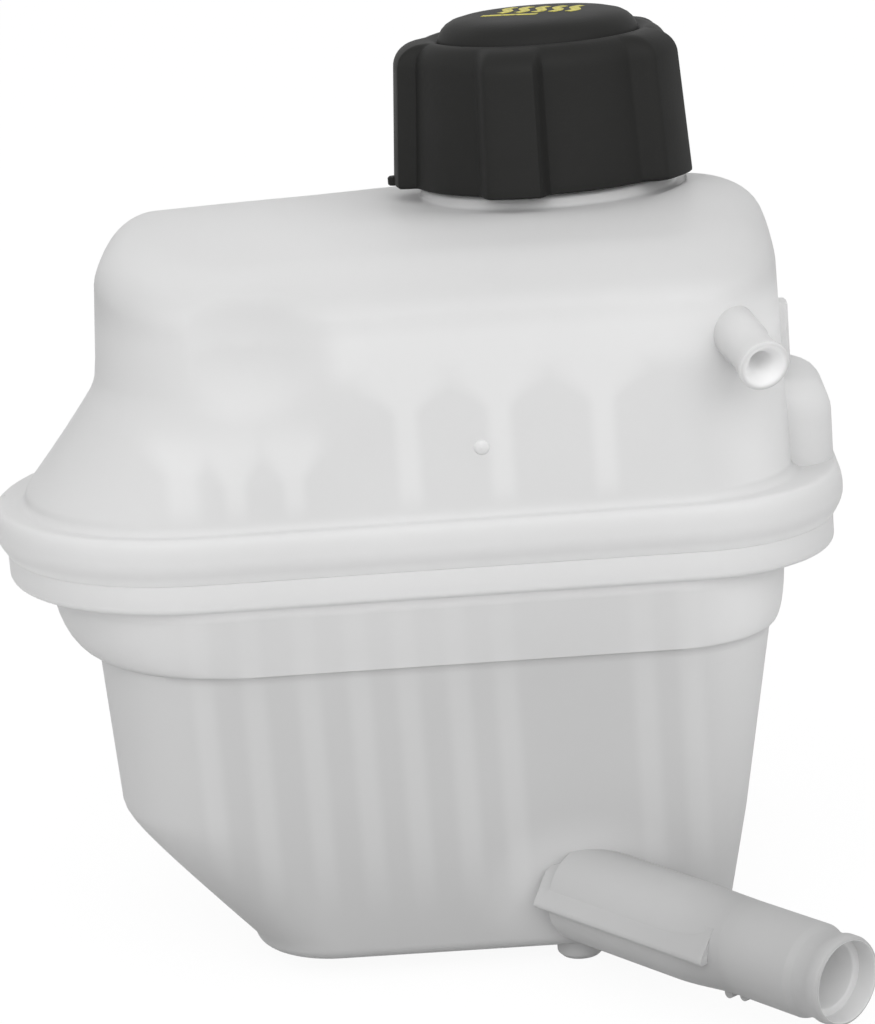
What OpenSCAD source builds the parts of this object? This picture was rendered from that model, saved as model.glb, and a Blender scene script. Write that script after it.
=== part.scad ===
// Coolant expansion tank: two moulded shells welded at a flange, with a screw cap that holds
// a pressure valve. The origin is on the locating peg's axis, at the underside of the tank.

/* [Flange] */
// Flange's left edge, from the locating peg
reach_left = 122.5; // [115:0.5:135]
// Flange's right edge, from the locating peg
reach_right = 61.5; // [56:0.5:70]
// Flange's front edge, from the locating peg
reach_front = 14.5; // [12:0.5:18]
// Flange's back edge, from the locating peg
reach_back = 122; // [122:1:140]
// Plan radius of the flange's front left corner
corner_front_left = 48; // [42:1:48]
// Plan radius of the flange's front right corner
corner_front_right = 29; // [26:1:34]
// Plan radius of the flange's back right corner
corner_back_right = 32; // [28:1:38]
// Plan radius of the flange's back left corner
corner_back_left = 88; // [70:1:88]
// Height of the weld above the underside
weld_z = 90; // [84:1:100]
// Height of the upper shell's rounded bead
bead_h = 10.6; // [8:0.2:13]
// How far the bead stands out past the lip
bead_out = 2.4; // [1.5:0.1:3.5]
// Height of the lower shell's square lip
lip_h = 6.7; // [5:0.1:9]
// Radius under the lip
lip_round = 1.8; // [1:0.1:3]
// Width of the weld's land
land = 6.5; // [6:0.1:8]

/* [Walls] */
// Wall of both shells
wall = 2.4; // [2:0.1:2.8]
// Thickness of the baffles
baffle_t = 1.8; // [1.4:0.1:2.4]
// Depth of the baffles
baffle_d = 14; // [8:1:24]

/* [Upper shell] */
// Height of the skirt's top, above the weld
skirt_h = 40; // [36:1:44]
// How far the skirt leans in on the left
skirt_in = 21.5; // [18:0.5:25]
// Highest point of the roof, above the weld
roof_h = 70.9; // [66:0.1:74]
// How far the roof falls by the front edge
roof_fall = 9.5; // [6:0.5:11]
// Radius between the walls and the roof
roof_round = 9; // [7:0.5:12]
// Width of the shoulder that stands out on the right
shoulder_out = 11.5; // [9:0.5:13]
// Height of the shoulder's top, above the weld
shoulder_h = 29; // [24:0.5:32]
// Radius of the hollow in the front left wall
hollow_r = 28; // [24:1:32]
// Depth of that hollow
hollow_depth = 3.8; // [2:0.2:4.4]

/* [Lower shell] */
// Depth of the collar under the weld
collar_h = 22; // [20:0.5:26]
// How far the collar stands in from the lip at its sides
collar_in = 9.5; // [8:0.5:11]
// How far the body stands in from the lip on the left
body_in_left = 18.5; // [16:0.5:22]
// How far the body stands in from the lip on the right
body_in_right = 14.5; // [13:0.5:18]
// Height of the sloping corner on the left
slope_h = 32; // [24:1:36]
// Width of the sloping corner
slope_w = 35; // [26:1:38]
// Radius around the underside
base_round = 3; // [2:0.5:5]

/* [Filler neck] */
// Neck axis, to the right of the locating peg
neck_x = 4.3; // [0:0.1:8]
// Neck axis, behind the locating peg
neck_y = 53; // [48:1:58]
// Radius of the ring under the cap
ring_r = 29.5; // [29:0.1:31]
// Height of that ring's top, above the weld
ring_h = 71; // [69:0.2:76]
// Outer radius of the threaded tube
neck_r = 24; // [23.6:0.1:24.4]
// Radius of the filler opening
neck_bore_r = 21; // [20:0.1:21.6]
// Height of the rim, above the ring
neck_h = 23.4; // [21:0.2:25]

/* [Hose connections] */
// Outer radius of the outlet
outlet_r = 10; // [9.4:0.1:10.6]
// Radius of the outlet's bore
outlet_bore_r = 6.8; // [5:0.1:7.6]
// Length of the outlet from the front wall
outlet_l = 71.2; // [64:0.2:76]
// Direction of the outlet, turned to the right from straight ahead
outlet_turn = 42.5; // [38:0.5:48]
// Fall of the outlet towards its end
outlet_dip = 1; // [0:0.5:3]
// Height of the outlet's axis at the wall
outlet_z = 12.8; // [12:0.2:15]
// Outer radius of the small return hose's nipple
nipple_r = 4.8; // [4:0.1:5.4]
// Bore radius of that nipple
nipple_bore_r = 2.4; // [1.6:0.1:3]
// Height of that nipple's end, above the weld
nipple_h = 41; // [38:0.5:44]

/* [Fixing] */
// Radius of the locating peg
peg_r = 5.2; // [4:0.1:6]
// Length of the locating peg
peg_l = 4.5; // [3.5:0.5:7]
// Radius of the bolt hole in the back ear
ear_hole_r = 4.2; // [3:0.1:4.6]

/* [Cap] */
// Radius of the cap's body at its rim
cap_r = 30.8; // [30.2:0.1:32]
// How far the grips stand out
grip_out = 3.7; // [2:0.1:4]
// Number of grips
grip_count = 6; // [5:1:8]
// Height of the cap from its rim to its roof
cap_h = 31.8; // [31:0.2:36]
// Draft of the cap's side
cap_draft = 4; // [2:0.2:5]
// Radius of the raised disc on top
disc_r = 24.2; // [20:0.2:25]
// Height of that disc
disc_h = 4.2; // [3:0.2:6]

/* [Hidden] */
corner_steps = 10;
side_steps = 4;
over = 0.01;
fit_gap = 0.05;
up = weld_z;
ring_z = up + ring_h;
rim_z = ring_z + neck_h;
milk = [0.9, 0.92, 0.92];
black = [0.12, 0.12, 0.13];
rubber = [0.2, 0.2, 0.2];
steel = [0.7, 0.7, 0.72];

// The points around one level of a box with four different corner radii.
function arc(cx, cy, r, from, wide = 1) =
    [for (i = [0 : corner_steps]) [cx + wide * r * cos(from + 90 * i / corner_steps),
        cy + r * sin(from + 90 * i / corner_steps)]];
function between(a, b) = [for (i = [1 : side_steps - 1]) a + (b - a) * i / side_steps];
function last(list) = list[len(list) - 1];
function sum(list, i = 0) = i == len(list) - 1 ? list[i] : list[i] + sum(list, i + 1);
function around(left, right, front, back, r, wide = 1) =
    let (
        c1 = arc(left + r[0], front + r[0], r[0], 180),
        c2 = arc(right - r[1], front + r[1], r[1], 270),
        c3 = arc(right - r[2], back - r[2], r[2], 0),
        c4 = arc(left + wide * r[3], back - r[3], r[3], 90, wide)
    )
    concat(c1, between(last(c1), c2[0]), c2, between(last(c2), c3[0]),
        c3, between(last(c3), c4[0]), c4, between(last(c4), c1[0]));

// The tank's outline, standing in from the flange's left, right, front and back edges.
function radius(r, a, b) = max(2, r - (a + b) / 2);
function radii(in) = [radius(corner_front_left, in[0], in[2]), radius(corner_front_right, in[1], in[2]),
    radius(corner_back_right, in[1], in[3]), radius(corner_back_left, 2.4 * in[0], 2.4 * in[3])];
// The back left corner is an ellipse at the flange, and wider than it is deep.
function widening(in) = 1 + 0.35 * max(0, min(1, 1 - in[0] / 20));
function outline(in) = around(-reach_left + in[0], reach_right - in[1], -reach_front + in[2],
    reach_back - in[3], radii(in), widening(in));
function at(points, z) = [for (p = points) [p[0], p[1], z]];
function grown(in, d) = [for (v = in) v + d];
// The outline's front side at a given x.
function front_at(x, in) =
    let (r = radii(in), left = -reach_left + in[0] + r[0] - x, right = x - reach_right + in[1] + r[1])
    -reach_front + in[2] + (left > 0 ? r[0] - sqrt(max(0, r[0] * r[0] - left * left))
        : right > 0 ? r[1] - sqrt(max(0, r[1] * r[1] - right * right)) : 0);

function middle(ring) = sum(ring) / len(ring);
// A closed solid through a stack of rings with the same number of points, lowest ring first.
module loft(rings) {
    n = len(rings[0]);
    m = len(rings);
    sides = [for (k = [0 : m - 2], i = [0 : n - 1])
        let (a = k * n + i, b = k * n + (i + 1) % n)
        each [[a, a + n, b + n], [a, b + n, b]]];
    low = n * m;
    bottom = [for (i = [0 : n - 1]) [low, i, (i + 1) % n]];
    top = [for (i = [0 : n - 1]) [low + 1, (m - 1) * n + (i + 1) % n, (m - 1) * n + i]];
    polyhedron(concat([for (r = rings) each r], [middle(rings[0]), middle(last(rings))]),
        concat(bottom, sides, top), 6);
}

// Upper shell: how far its wall stands in at a height above the weld.
function lean(h) = 1 - pow(1 - min(1, (h - bead_h) / (skirt_h - bead_h)), 1.25);
function upper_in(h) =
    [3.4 + skirt_in * lean(h) + max(0, h - skirt_h) * tan(6.5), 8.8 + (h - bead_h) * tan(1.6),
        0.9 + (h - bead_h) * tan(1.2), 4 + 15 * lean(h) + max(0, h - skirt_h) * tan(6)];
// Height of its roof, lower by a drop, and the rings round the roof's edge and in to the neck.
function roof_z(x, y, drop) =
    up + roof_h - drop - 0.0003 * pow(x + 26, 2) - roof_fall * pow((y - 39) / 53, 2);
function edge_ring(a, d) =
    let (in = grown(upper_in(roof_h - 18), d), s = roof_round * (1 - cos(a)),
        ring = outline([in[0] + s, in[1] + s, in[2] + 1.5 * s, in[3] + s]))
    [for (p = ring) [p[0], p[1], roof_z(p[0], p[1], d + roof_round * (1 - sin(a)))]];
function roof_ring(t, d) =
    let (foot_r = ring_r + 3, foot_z = ring_z - 2.4 - d, s = pow(t, 3))
    [for (p = edge_ring(90, d))
        let (a = atan2(p[1] - neck_y, p[0] - neck_x),
            x = p[0] + (neck_x + foot_r * cos(a) - p[0]) * t,
            y = p[1] + (neck_y + foot_r * sin(a) - p[1]) * t)
        [x, y, roof_z(x, y, d) * (1 - s) + foot_z * s]];
wall_steps = [bead_h + 0.6, bead_h + 6, bead_h + 12, bead_h + 19, skirt_h - 3, skirt_h, skirt_h + 4];

module upper_outside() {
    bead = [for (a = [0 : 22.5 : 180])
        at(outline(grown([0, 0, 0, 0], -bead_out * pow(sin(a), 0.6))), up + bead_h * (1 - cos(a)) / 2)];
    walls = [for (h = wall_steps) at(outline(upper_in(h)), up + h)];
    edge = [for (a = [0 : 18 : 90]) edge_ring(a, 0)];
    roof = [for (t = [0.25 : 0.25 : 1]) roof_ring(t, 0)];
    loft(concat(bead, walls, edge, roof));
}

module upper_inside() {
    foot = [for (h = [-over, 4]) at(outline(grown([0, 0, 0, 0], land)), up + h)];
    walls = [for (h = [for (i = [0, 2, 4, 6]) wall_steps[i]]) at(outline(grown(upper_in(h), wall)), up + h)];
    edge = [for (a = [0 : 30 : 90]) edge_ring(a, wall)];
    roof = [for (t = [0.5, 1]) roof_ring(t, wall)];
    loft(concat(foot, walls, edge, roof));
}

// The shoulder that stands out on the right, behind the front corner.
module shoulder(d, from) {
    side = reach_right - 10.4 + shoulder_out - d;
    front = 10 + d;
    back = 54 - d;
    low = at(around(20, side + 0.4, front, back, [2, 9 - d, 14 - d, 2]), up + from);
    round = [for (a = [0 : 30 : 90]) let (s = 7.5 * (1 - cos(a)))
        at(around(20, side - s, front + s / 2, back - s, [2, 9 - d, 14 - d, 2]),
            up + shoulder_h - d - 8 * (1 - sin(a)))];
    loft(concat([low], round));
}

// The soft hollow in the front left wall, open at the top.
module hollow(d) {
    translate([-63, front_at(-63, upper_in(50)) - hollow_r + hollow_depth, up + 50]) {
        sphere(hollow_r + d, $fn = 90);
        rotate([-10, 0, 0]) cylinder(40, hollow_r + d, hollow_r + d, $fn = 90);
    }
}

// A baffle behind the front wall, from its lower to its upper end.
module baffle(x, edge, depth) {
    rotate([90, 0, 90]) translate([0, 0, x - baffle_t / 2]) linear_extrude(baffle_t)
        polygon(concat([for (p = edge) [p[0] + wall / 2, p[1]]],
            [for (i = [len(edge) - 1 : -1 : 0]) [edge[i][0] + wall + depth, edge[i][1]]]));
}
module upper_baffle(x, from, to) {
    baffle(x, [for (i = [0 : 6]) let (h = from + (to - from) * i / 6)
        [front_at(x, upper_in(h)), up + h]], baffle_d);
}

nipple_end = [reach_right - 15.5, -reach_front - 9.5, up + nipple_h];
nipple_seat = 10;
module along_nipple() {
    translate(nipple_end) rotate([0, 0, 18]) rotate([-74, 0, 0]) children();
}

module top_shell() {
    color(milk) {
        difference() {
            union() {
                difference() {
                    union() {
                        upper_outside();
                        shoulder(0, 3);
                    }
                    hollow(0);
                }
                translate([neck_x, neck_y, ring_z - 4]) cylinder(4, ring_r, ring_r, $fn = 96);
                translate([neck_x, neck_y, ring_z - 1]) cylinder(neck_h + 1, neck_r, neck_r, $fn = 96);
                along_nipple() cylinder(nipple_seat, nipple_r, nipple_r, $fn = 48);
                along_nipple() translate([0, 0, nipple_seat]) cylinder(16, nipple_r + 0.4, nipple_r + 0.4,
                    $fn = 48);
                translate([reach_right - 16, 30, up + shoulder_h - 5]) cube([9.6, 6, 19]);
            }
            difference() {
                union() {
                    upper_inside();
                    shoulder(wall, 5);
                }
                hollow(wall);
            }
            translate([neck_x, neck_y, ring_z - 12]) cylinder(60, neck_bore_r, neck_bore_r, $fn = 96);
            along_nipple() translate([0, 0, -1]) cylinder(30, nipple_bore_r, nipple_bore_r, $fn = 32);
        }
        for (x = [-28.9, -9.3, 12.4]) upper_baffle(x, 8, 57);
        for (x = [-77, -65.9, -53.5]) upper_baffle(x, 10, 32);
    }
}

// Lower shell: how far its wall stands in at a height, with the slope on the left.
function slope(z) = let (d = max(0, slope_h - z)) d * d / (d + 5) * slope_w / slope_h;
function lower_in(z) = let (h = up - collar_h - z)
    [body_in_left + 0.7 + h * tan(2.9) + slope(z), body_in_right + 0.7 + h * tan(9.6), 3.2 + h * tan(2.6),
        9 + h * tan(4)];
collar_top = [collar_in, collar_in + 1.2, 2.6, 4];
collar_foot = [body_in_left, body_in_right, 2.6, 8.4];
function collar_ring(t, d) = let (in = collar_top + (collar_foot - collar_top) * (1 - sqrt(1 - t * t)))
    at(outline(grown(in, d)), up - lip_h - 0.6 - t * (collar_h - lip_h - 0.6));
function base_ring(a, d) = let (r = base_round - d, s = r * (1 - cos(a)))
    at(outline(grown(grown(lower_in(base_round), d), s)), d + r * (1 - sin(a)));
body_steps = [slope_h / 2, slope_h * 0.75, slope_h, up - collar_h - 0.5];

module lower_outside() {
    base = [for (a = [90 : -22.5 : 0]) base_ring(a, 0)];
    walls = [for (z = body_steps) at(outline(lower_in(z)), z)];
    collar = [for (t = [1, 0.97, 0.85, 0.6, 0.3, 0]) collar_ring(t, 0)];
    lip = [for (a = [90 : -30 : 0]) at(outline(grown([0, 0, 0, 0], lip_round * (1 - cos(a)))),
        up - lip_h + lip_round * (1 - sin(a)))];
    loft(concat(base, walls, collar, lip, [at(outline([0, 0, 0, 0]), up)]));
}

module lower_inside() {
    base = [for (a = [90 : -30 : 0]) base_ring(a, wall)];
    walls = [for (z = body_steps) at(outline(grown(lower_in(z), wall)), z)];
    collar = [for (t = [0.97, 0.6, 0]) collar_ring(t, wall + 0.4)];
    foot = [for (v = collar_top) max(land, v + wall)];
    loft(concat(base, walls, collar, [at(outline(foot), up - 3), at(outline(foot), up + over)]));
}

module lower_baffle(x) {
    low = max(6, -65 - x);
    high = up - collar_h;
    baffle(x, [for (i = [0 : 8]) let (z = low + (high - low) * i / 8)
        [front_at(x, lower_in(z)), z]], baffle_d);
}

outlet_x = 5.5;
module along_outlet() {
    translate([outlet_x, -reach_front + 3, outlet_z]) rotate([0, 0, outlet_turn])
        rotate([90 + outlet_dip, 0, 0]) children();
}

// The outlet is thicker by its root. Past that come the hose's seat and a smaller nose.
root_l = 46;
seat_to = outlet_l - 8.6;
module outlet_outside() {
    tip = outlet_l;
    groove_r = outlet_r - 0.9;
    nose_r = outlet_r - 0.5;
    rotate_extrude($fn = 96) polygon([[0, -13], [outlet_r, -13], [outlet_r, seat_to],
        [groove_r, seat_to + 1.3], [groove_r, tip - 4.2], [nose_r, tip - 3], [nose_r, tip - 0.9],
        [nose_r - 0.7, tip], [0, tip]]);
    translate([0, -0.5, -13]) cylinder(root_l + 13, outlet_r + 0.7, outlet_r + 0.7, $fn = 96);
}

// The web along the outlet's left side: level below, and falling from the tube's top above.
module outlet_web() {
    edge = -outlet_r - 2.2;
    translate([0, 0, -6]) linear_extrude(49)
        polygon([[0, -1], [edge, -1], [edge, 0.2], [-0.8 * outlet_r, 0.62 * outlet_r], [0, 0.9 * outlet_r]]);
}

module bottom_shell() {
    color(milk) {
        difference() {
            union() {
                lower_outside();
                along_outlet() outlet_outside();
                along_outlet() outlet_web();
                translate([0, 0, -peg_l]) cylinder(1, peg_r - 1, peg_r, $fn = 48);
                translate([0, 0, 1 - peg_l]) cylinder(peg_l + 0.4, peg_r, peg_r, $fn = 48);
                translate([-30, reach_back - 1, up - lip_h]) cube([24, 8, lip_h]);
                translate([-18, reach_back + 7, up - lip_h]) cylinder(lip_h, 12, 12, $fn = 64);
            }
            lower_inside();
            along_outlet() translate([0, 0, -12]) cylinder(outlet_l + 13, outlet_bore_r, outlet_bore_r,
                $fn = 64);
            along_outlet() translate([0, 0, outlet_l - 4.5]) cylinder(6, outlet_r - 1.5, outlet_r - 1.5,
                $fn = 64);
            translate([-18, reach_back + 9, up - lip_h - 1]) cylinder(lip_h + 2, ear_hole_r, ear_hole_r,
                $fn = 48);
        }
        for (x = [-77.3, -66.3, -54.4, -43.5, -33.1, -22.2, -12]) lower_baffle(x);
        for (x = [17.7, 27.7]) lower_baffle(x);
    }
}

// Cap: the body's radius at a height above its rim, and its grips as a ring of points.
cap_z = ring_z + 0.8;
cap_top = cap_z + cap_h;
gasket_t = 1.5;
housing_z = rim_z + gasket_t;
flange_top = housing_z + 2.4;
ceiling = cap_top - 2.6;
lip_r = 25.2;
function grip(a) = a < 9 ? 1 : a < 11 ? 0.92 : a < 13 ? 0.6 : a < 16 ? 0.1 : 0;
grip_spots = [-9, -6, 0, 6, 9, 10.5, 12, 13.5, 17, 30, 43, 46.5, 48, 49.5];
function cap_ring(r, out, z) =
    [for (k = [0 : grip_count - 1], s = grip_spots)
        let (w = 360 / grip_count, a = -105.4 + k * w + s * w / 60, b = s > 30 ? 60 - s : abs(s),
            q = r + out * grip(b))
        [neck_x + q * cos(a), neck_y + q * sin(a), z]];

module cap_outside() {
    round = 4.4;
    side = [for (h = [0.6, 8, 17, cap_h - round])
        cap_ring(cap_r - h * tan(cap_draft), grip_out, cap_z + h)];
    r = cap_r - (cap_h - round) * tan(cap_draft);
    top = [for (a = [15 : 15 : 90]) cap_ring(r - 4 * (1 - cos(a)), grip_out * pow(cos(a), 0.35),
        cap_top - round + round * sin(a))];
    loft(concat([cap_ring(cap_r - 0.5, grip_out, cap_z)], side, top));
}

module cap_shell() {
    color(black) difference() {
        union() {
            cap_outside();
            translate([neck_x - cap_r - grip_out + 0.3, neck_y - 2, cap_z]) cylinder(2, 1.6, 1.6, $fn = 24);
            translate([neck_x, neck_y, cap_top - 1]) rotate_extrude($fn = 96) polygon([[0, 0], [disc_r, 0],
                [disc_r, 1.8], [disc_r - 0.7, 3.2], [disc_r - 2, 4.2], [disc_r - 4, 4.8], [0, disc_h + 1]]);
        }
        translate([neck_x, neck_y, 0]) rotate_extrude($fn = 96) polygon([[0, cap_z - over],
            [cap_r - 3, cap_z - over], [cap_r - 4.2, rim_z + 0.3], [lip_r, rim_z + 0.3],
            [lip_r, rim_z + 1.2], [26, rim_z + 1.2], [26, ceiling], [23.5, ceiling], [23.5, flange_top],
            [21, flange_top], [21, ceiling], [0, ceiling]]);
    }
}

// Valve cartridge: a cup that hangs in the neck, with its flange over the rim.
cup_r = neck_bore_r - 1.2;
cup_in = cup_r - 2.6;
cup_depth = 31;
cup_floor = housing_z - cup_depth;
seat_r = 9;
plate_r = 14;
flange_r = neck_r + 1.6;
ring_d = 2.6;
ring_mid = neck_bore_r - fit_gap - ring_d / 2;
groove_h = 3;
groove_z = rim_z - 11;

module valve_housing() {
    color(black) translate([neck_x, neck_y, 0]) difference() {
        union() {
            translate([0, 0, cup_floor - 3]) cylinder(housing_z - cup_floor + 3, cup_r, cup_r, $fn = 96);
            translate([0, 0, housing_z]) cylinder(flange_top - housing_z, flange_r, flange_r, $fn = 96);
        }
        translate([0, 0, cup_floor]) cylinder(50, cup_in, cup_in, $fn = 96);
        translate([0, 0, cup_floor - 5]) cylinder(10, seat_r, seat_r, $fn = 64);
        translate([0, 0, groove_z - groove_h / 2]) rotate_extrude($fn = 96)
            translate([ring_mid - ring_d / 2 - fit_gap, 0]) square([ring_d + 1.4, groove_h]);
    }
}

module neck_gasket() {
    color(rubber) translate([neck_x, neck_y, rim_z]) difference() {
        cylinder(gasket_t, neck_r - 0.2, neck_r - 0.2, $fn = 96);
        translate([0, 0, -1]) cylinder(gasket_t + 2, cup_r + 0.4, cup_r + 0.4, $fn = 96);
    }
}

module neck_o_ring() {
    color(rubber) translate([neck_x, neck_y, groove_z]) rotate_extrude($fn = 96)
        translate([ring_mid, 0]) circle(ring_d / 2, $fn = 32);
}

module housing_lid() {
    color(black) translate([neck_x, neck_y, housing_z - 2]) difference() {
        cylinder(3, cup_in - fit_gap, cup_in - fit_gap, $fn = 96);
        for (a = [0 : 60 : 300]) rotate([0, 0, a]) translate([10, 0, -1]) cylinder(5, 2, 2, $fn = 32);
    }
}

// Pressure valve: a plate on a rubber ring, held down by the large spring.
seal_t = 2;
plate_t = 2;
plate_z = cup_floor + seal_t;
module pressure_valve() {
    color(black) translate([neck_x, neck_y, plate_z]) difference() {
        union() {
            cylinder(plate_t, plate_r, plate_r, $fn = 96);
            cylinder(4, 8, 8, $fn = 64);
        }
        translate([0, 0, -1]) cylinder(8, 2.2, 2.2, $fn = 48);
        translate([0, 0, 2.6]) cylinder(4, 5.4, 5.4, $fn = 48);
    }
}

module pressure_seal() {
    color(rubber) translate([neck_x, neck_y, cup_floor]) difference() {
        cylinder(seal_t, plate_r - 1, plate_r - 1, $fn = 96);
        translate([0, 0, -1]) cylinder(seal_t + 2, seat_r + 0.4, seat_r + 0.4, $fn = 64);
    }
}

// A coil spring with a round wire, and the solid through its turns.
module coil(r, wire, height, turns) {
    per_turn = 16;
    steps = turns * per_turn;
    loft([for (i = [0 : steps])
        let (a = 360 * i / per_turn, z = wire + (height - 2 * wire) * i / steps)
        [for (k = [0 : 5]) let (q = r + wire * cos(60 * k + 30))
            [q * cos(a), q * sin(a), z + wire * sin(60 * k + 30)]]]);
}

spring_wire = 0.8;
module pressure_spring() {
    color(steel) translate([neck_x, neck_y, plate_z + plate_t])
        coil(plate_r - 3.4, spring_wire, housing_z - 2 - plate_z - plate_t, 6);
}

module vacuum_valve() {
    color(black) translate([neck_x, neck_y, plate_z]) {
        translate([0, 0, -1.4]) cylinder(1.4, 4.6, 4.6, $fn = 48);
        translate([0, 0, -0.5]) cylinder(7.5, 1.4, 1.4, $fn = 32);
        translate([0, 0, 6.4]) cylinder(1, 3.8, 3.8, $fn = 48);
    }
}

module vacuum_spring() {
    color(steel) translate([neck_x, neck_y, plate_z + 2.6]) coil(3, 0.35, 3.8, 4);
}

top_shell();
bottom_shell();
cap_shell();
valve_housing();
neck_gasket();
neck_o_ring();
housing_lid();
pressure_valve();
pressure_seal();
pressure_spring();
vacuum_valve();
vacuum_spring();
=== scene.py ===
"""Looks of the coolant expansion tank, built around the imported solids.

The solids' frame is used throughout. Blender works in metres. The moulded skins are drawn in
millimetres, as such parts are, and new_piece turns them to metres.
"""

import math

import bmesh
import bpy
from mathutils import Matrix, Vector


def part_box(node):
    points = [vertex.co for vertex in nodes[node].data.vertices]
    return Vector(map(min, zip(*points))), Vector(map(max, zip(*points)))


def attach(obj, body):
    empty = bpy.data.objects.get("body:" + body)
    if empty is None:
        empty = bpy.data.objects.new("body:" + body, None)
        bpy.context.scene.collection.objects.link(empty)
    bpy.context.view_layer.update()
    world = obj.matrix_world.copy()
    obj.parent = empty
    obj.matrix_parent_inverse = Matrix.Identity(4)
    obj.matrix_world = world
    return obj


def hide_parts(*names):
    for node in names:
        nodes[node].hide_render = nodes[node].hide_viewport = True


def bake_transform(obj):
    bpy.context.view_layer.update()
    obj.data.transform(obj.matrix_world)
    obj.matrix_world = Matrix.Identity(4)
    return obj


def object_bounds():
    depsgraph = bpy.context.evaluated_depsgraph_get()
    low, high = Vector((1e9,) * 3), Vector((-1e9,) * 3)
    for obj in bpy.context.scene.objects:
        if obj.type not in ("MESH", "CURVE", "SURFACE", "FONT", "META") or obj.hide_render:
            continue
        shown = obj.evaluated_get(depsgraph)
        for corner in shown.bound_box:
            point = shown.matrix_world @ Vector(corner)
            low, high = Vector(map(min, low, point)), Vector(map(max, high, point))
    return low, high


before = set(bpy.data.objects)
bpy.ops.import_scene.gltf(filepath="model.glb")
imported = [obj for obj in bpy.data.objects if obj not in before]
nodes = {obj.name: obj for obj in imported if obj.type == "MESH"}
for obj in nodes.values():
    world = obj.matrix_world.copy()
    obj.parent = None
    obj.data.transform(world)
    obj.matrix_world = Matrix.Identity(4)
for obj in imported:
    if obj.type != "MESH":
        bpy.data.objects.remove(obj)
cad_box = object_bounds()


# The photograph's viewpoint, in degrees, metres and pixels
AZIMUTH, ELEVATION, ROLL = 2.2, 14.8, 4.5
AIM = Vector((-0.0255, 0.033, 0.090))
DISTANCE = 0.765
FOCAL_PIXELS, PICTURE_PIXELS = 3400, 1024
SENSOR_MM = 36


def place_camera():
    """A long lens, a little above the tank and turned by a few degrees."""
    azimuth, elevation, roll = (math.radians(v) for v in (AZIMUTH, ELEVATION, ROLL))
    back = Vector(
        (
            math.sin(azimuth) * math.cos(elevation),
            -math.cos(azimuth) * math.cos(elevation),
            math.sin(elevation),
        )
    )
    right = (-back).cross(Vector((0, 0, 1))).normalized()
    up = right.cross(-back)
    turned_right = right * math.cos(roll) - up * math.sin(roll)
    turned_up = right * math.sin(roll) + up * math.cos(roll)
    data = bpy.data.cameras.new("camera")
    data.sensor_fit = "VERTICAL"
    data.sensor_height = SENSOR_MM
    data.lens = SENSOR_MM * FOCAL_PIXELS / PICTURE_PIXELS
    data.clip_end = 20
    camera = bpy.data.objects.new("camera", data)
    bpy.context.scene.collection.objects.link(camera)
    axes = Matrix((turned_right, turned_up, back)).transposed().to_4x4()
    camera.matrix_world = Matrix.Translation(AIM + back * DISTANCE) @ axes
    bpy.context.scene.camera = camera


place_camera()


# Materials
def srgb(code):
    """An sRGB hex colour as the linear RGBA that the shaders take."""
    parts = [int(code[i : i + 2], 16) / 255 for i in (1, 3, 5)]
    return [v / 12.92 if v <= 0.04045 else ((v + 0.055) / 1.055) ** 2.4 for v in parts] + [1]


def add(tree, kind, inputs=(), **settings):
    """Adds one node. Each input named gets a value, or the socket that feeds it."""
    node = tree.nodes.new(kind)
    for name, value in settings.items():
        setattr(node, name, value)
    for key, value in inputs.items() if isinstance(inputs, dict) else enumerate(inputs):
        if isinstance(value, bpy.types.NodeSocket):
            tree.links.new(value, node.inputs[key])
        else:
            node.inputs[key].default_value = value
    return node


def new_material(name):
    """An empty material, and the tree it is drawn in."""
    material = bpy.data.materials.new(name)
    material.use_nodes = True
    material.node_tree.nodes.clear()
    return material, material.node_tree


def milky_polypropylene():
    """Natural polypropylene, injection moulded: no pigment, so light goes through the 2.4 mm wall
    and comes out milky. Shades are soft, edges hardly show, and the skin has a dull waxy shine."""
    material, tree = new_material("natural_polypropylene")
    place = add(tree, "ShaderNodeTexCoord").outputs["Object"]
    # The melt's cloudy flow, a few centimetres across.
    cloud = add(
        tree,
        "ShaderNodeTexNoise",
        {"Vector": place, "Scale": 1 / 0.05, "Detail": 2.0, "Roughness": 0.5},
    ).outputs["Fac"]
    # The more plastic stands behind the skin, such as a baffle, the whiter it looks. The same tone
    # also carries painted light and painted shade, set on the skins below. The melt's cloud shifts
    # that a little.
    thickness_and_painted_light = add(tree, "ShaderNodeAttribute", attribute_name="thickness_and_painted_light").outputs["Fac"]
    drift = add(tree, "ShaderNodeMapRange", {"Value": cloud, "To Min": -0.05, "To Max": 0.05})
    milk_and_painted_light = add(tree, "ShaderNodeMath", (thickness_and_painted_light, drift.outputs[0]), operation="ADD", use_clamp=True)
    colour = add(
        tree,
        "ShaderNodeMix",
        {"Factor": milk_and_painted_light.outputs[0], "A": srgb("#b4b4b4"), "B": srgb("#f8f8f8")},
        data_type="RGBA",
    ).outputs[2]
    # Spark-eroded grain of the tool, 0.1 mm, drawn 0.5 mm across so that it shows at all.
    grain = add(tree, "ShaderNodeTexNoise", {"Vector": place, "Scale": 1 / 0.0005, "Detail": 2.0})
    skin = add(
        tree,
        "ShaderNodeBump",
        {"Strength": 0.12, "Distance": 0.00004, "Height": grain.outputs["Fac"]},
    )
    waxy = add(tree, "ShaderNodeMapRange", {"Value": cloud, "To Min": 0.36, "To Max": 0.5})
    outer = add(
        tree,
        "ShaderNodeBsdfPrincipled",
        {
            "Base Color": colour,
            "Roughness": waxy.outputs[0],
            "Normal": skin.outputs["Normal"],
            "IOR": 1.49,
        },
    )
    through = add(tree, "ShaderNodeBsdfTranslucent", {"Color": colour})
    # Nearly half of what the camera sees is light that went through the wall.
    mixed = add(tree, "ShaderNodeMixShader", (0.45, outer.outputs[0], through.outputs[0]))
    add(tree, "ShaderNodeOutputMaterial", (mixed.outputs[0],))
    return material


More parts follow.
